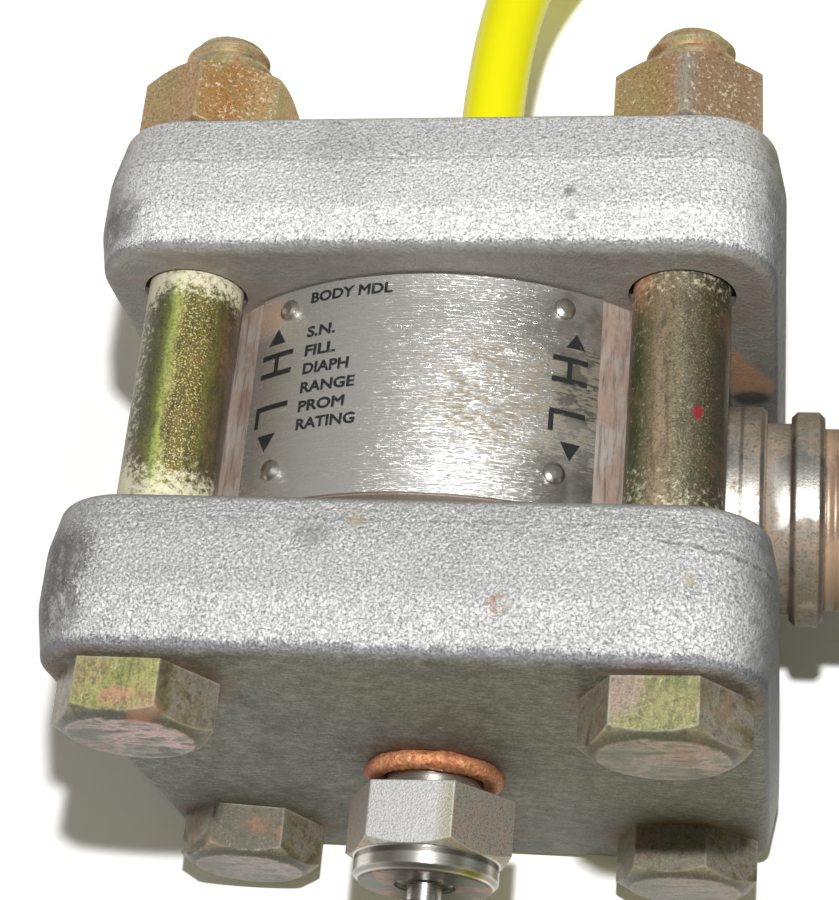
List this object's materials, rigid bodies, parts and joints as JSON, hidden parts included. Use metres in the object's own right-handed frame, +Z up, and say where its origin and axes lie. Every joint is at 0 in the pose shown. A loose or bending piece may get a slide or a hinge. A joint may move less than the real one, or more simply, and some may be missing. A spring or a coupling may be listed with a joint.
{
  "type": "pressure transmitter",
  "caption": "Differential pressure transmitter: round meter body clamped between square cast heads, sheathed capillary lines and a round electronics housing on a neck.",
  "frame": {"origin": "on the resting plane, in the middle of the four bracket holes under the heads", "axes": "+Z up, +X along the neck towards the housing, +Y towards the high side head"},
  "size_m": [0.1863, 0.3281, 0.08],
  "materials": {
    "cast_heads": "sand-cast stainless, sparkling matte",
    "meter_steel": "turned stainless with a rust tint",
    "fitting_steel": "turned stainless",
    "diaphragm_foil": "bright rolled foil",
    "zinc_fasteners": "yellow zinc, worn and stained",
    "copper": "worn copper",
    "gasket_white": "white fluoropolymer",
    "plate_steel": "brushed and printed",
    "yellow_sheath": "smooth yellow sheath",
    "tie_plastic": "black nylon",
    "header_metal": "plated header",
    "contact_brass": "plated contacts",
    "seal_rubber": "black rubber",
    "housing_paint": "grey paint on cast aluminium",
    "plain_steel": "plated steel",
    "dark_moulding": "moulded thermoset",
    "board_green": "solder resist"
  },
  "bodies": {
    "meter": {"meter_body": "meter_steel", "high_side_diaphragm": "diaphragm_foil", "low_side_diaphragm": "diaphragm_foil", "high_side_gasket": "gasket_white", "low_side_gasket": "gasket_white", "high_side_head": "cast_heads", "low_side_head": "cast_heads", "head_bolts": "zinc_fasteners", "head_nuts": "zinc_fasteners", "nameplate": "plate_steel", "nameplate_rivets": "plate_steel", "high_copper_washer": "copper", "low_copper_washer": "copper", "high_capillary_fitting": "fitting_steel", "low_capillary_fitting": "fitting_steel", "high_capillary_tube": "fitting_steel", "low_capillary_tube": "fitting_steel", "high_sheath_sleeve": "fitting_steel", "low_sheath_sleeve": "fitting_steel", "high_capillary_lead": "yellow_sheath", "low_capillary_lead": "yellow_sheath", "high_capillary_hank": "yellow_sheath", "low_capillary_hank": "yellow_sheath", "high_hank_ties": "tie_plastic", "low_hank_ties": "tie_plastic", "high_end_fitting": "fitting_steel", "low_end_fitting": "fitting_steel", "sensor_header": "header_metal", "header_pins": "contact_brass", "neck_seal": "seal_rubber"},
    "housing": {"electronics_housing": "housing_paint", "neck_set_screw": "plain_steel", "conduit_plug": "plain_steel", "earth_screw": "plain_steel", "earth_clamp_washer": "plain_steel", "terminal_block": "dark_moulding", "terminal_screws": "contact_brass", "electronics_module": "dark_moulding", "circuit_board": "board_green", "board_posts": "contact_brass", "terminal_cover_seal": "seal_rubber", "electronics_cover_seal": "seal_rubber"},
    "terminal_cover": {"terminal_cover": "housing_paint"},
    "electronics_cover": {"electronics_cover": "housing_paint"}
  },
  "joints": [
    {"name": "housing_turn", "type": "hinge", "parent": "meter", "child": "housing", "pos_m": [0, 0, 0.04], "axis": [1, 0, 0], "range_deg": [-180, 180]},
    {"name": "terminal_cover_off", "type": "slide", "parent": "housing", "child": "terminal_cover", "axis": [0, -1, 0], "range_m": [0, 0.018]},
    {"name": "electronics_cover_off", "type": "slide", "parent": "housing", "child": "electronics_cover", "axis": [0, 1, 0], "range_m": [0, 0.018]}
  ]
}
